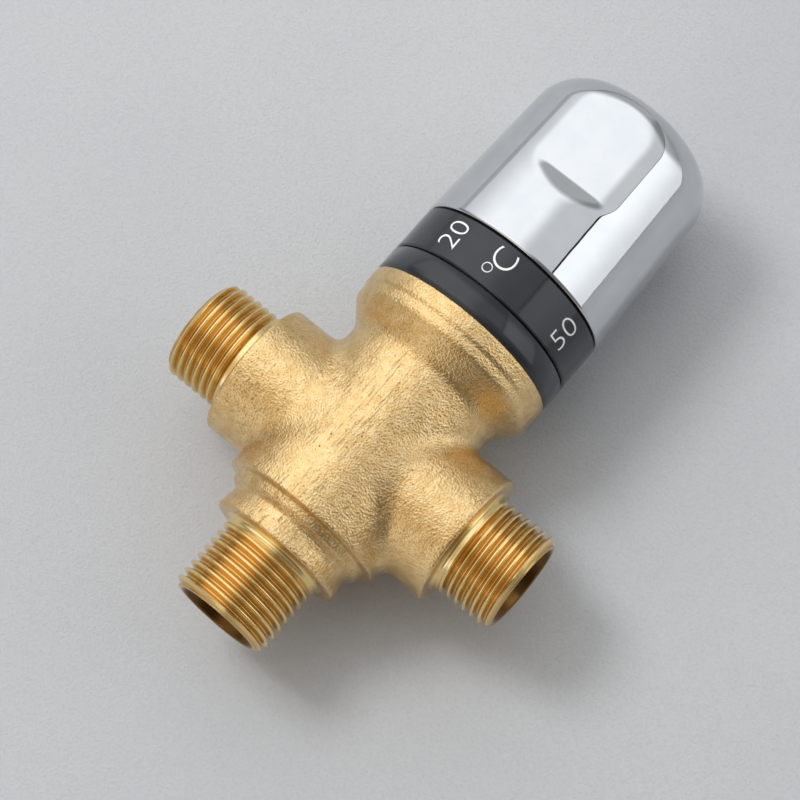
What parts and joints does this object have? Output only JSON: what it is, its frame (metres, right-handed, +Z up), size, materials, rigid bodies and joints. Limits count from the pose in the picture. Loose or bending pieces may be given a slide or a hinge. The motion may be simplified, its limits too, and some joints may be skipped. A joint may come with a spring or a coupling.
{
  "type": "thermostatic mixing valve",
  "caption": "Brass thermostatic mixing valve: cross body with three G1/2 male ports, wax cartridge, check valves and a chromed temperature knob on black scale rings.",
  "frame": {"origin": "centre of the outlet's end face", "axes": "+Y along the valve's axis from the outlet to the knob, -X to the hot inlet, +X to the cold inlet, +Z up, square to the plane of the ports"},
  "size_m": [0.0784, 0.1259, 0.0414],
  "materials": {
    "forged_brass": "sand-blasted forging with machined, brighter threads",
    "machined_brass": "turned brass",
    "black_plastic": "glossy black moulding, pale numbers on the upper ring",
    "chrome": "bright chrome plate",
    "white_plastic": "natural acetal",
    "spring_steel": "stainless wire",
    "seal_rubber": "black O-ring rubber"
  },
  "bodies": {
    "valve": {"valve_body": "forged_brass", "stop_ring": "black_plastic", "cartridge_housing": "white_plastic", "housing_seal_lower": "seal_rubber", "housing_seal_middle": "seal_rubber", "housing_seal_upper": "seal_rubber", "cold_seat": "machined_brass", "head_nut": "machined_brass", "return_spring": "spring_steel", "hot_check_housing": "white_plastic", "hot_check_seal": "seal_rubber", "hot_check_spring": "spring_steel", "cold_check_housing": "white_plastic", "cold_check_seal": "seal_rubber", "cold_check_spring": "spring_steel"},
    "knob": {"knob": "chrome", "scale_ring": "black_plastic", "knob_screw": "spring_steel", "spindle": "machined_brass", "stem_seal_lower": "seal_rubber", "stem_seal_upper": "seal_rubber", "stem_clip": "spring_steel"},
    "adjuster": {"adjusting_nut": "machined_brass", "cage_clip": "spring_steel", "overload_pusher": "white_plastic", "overload_spring": "spring_steel", "element_piston": "spring_steel"},
    "shuttle": {"shuttle": "white_plastic", "shuttle_seal": "seal_rubber", "thermal_element": "machined_brass"},
    "hot_poppet": {"hot_check_poppet": "white_plastic"},
    "cold_poppet": {"cold_check_poppet": "white_plastic"}
  },
  "joints": [
    {"name": "knob_turn", "type": "hinge", "parent": "valve", "child": "knob", "pos_m": [0, 0.0405, 0], "axis": [0, 1, 0], "range_deg": [-54, 30]},
    {"name": "nut_slide", "type": "slide", "parent": "valve", "child": "adjuster", "axis": [0, 1, 0], "range_m": [-0.00051, 0.00091]},
    {"name": "wax_stroke", "type": "slide", "parent": "adjuster", "child": "shuttle", "axis": [0, 1, 0], "range_m": [-0.0006, 0.0003], "stiffness_N_per_m": 200, "deforming": ["return_spring"]},
    {"name": "hot_check", "type": "slide", "parent": "valve", "child": "hot_poppet", "axis": [1, 0, 0], "range_m": [0, 0.002], "stiffness_N_per_m": 10, "springref_m": -0.001, "deforming": ["hot_check_spring"]},
    {"name": "cold_check", "type": "slide", "parent": "valve", "child": "cold_poppet", "axis": [-1, 0, 0], "range_m": [0, 0.002], "stiffness_N_per_m": 10, "springref_m": -0.001, "deforming": ["cold_check_spring"]}
  ],
  "couplings": [
    {"joint": "nut_slide", "follows": "knob_turn", "m_per_rad": -0.00095493}
  ]
}
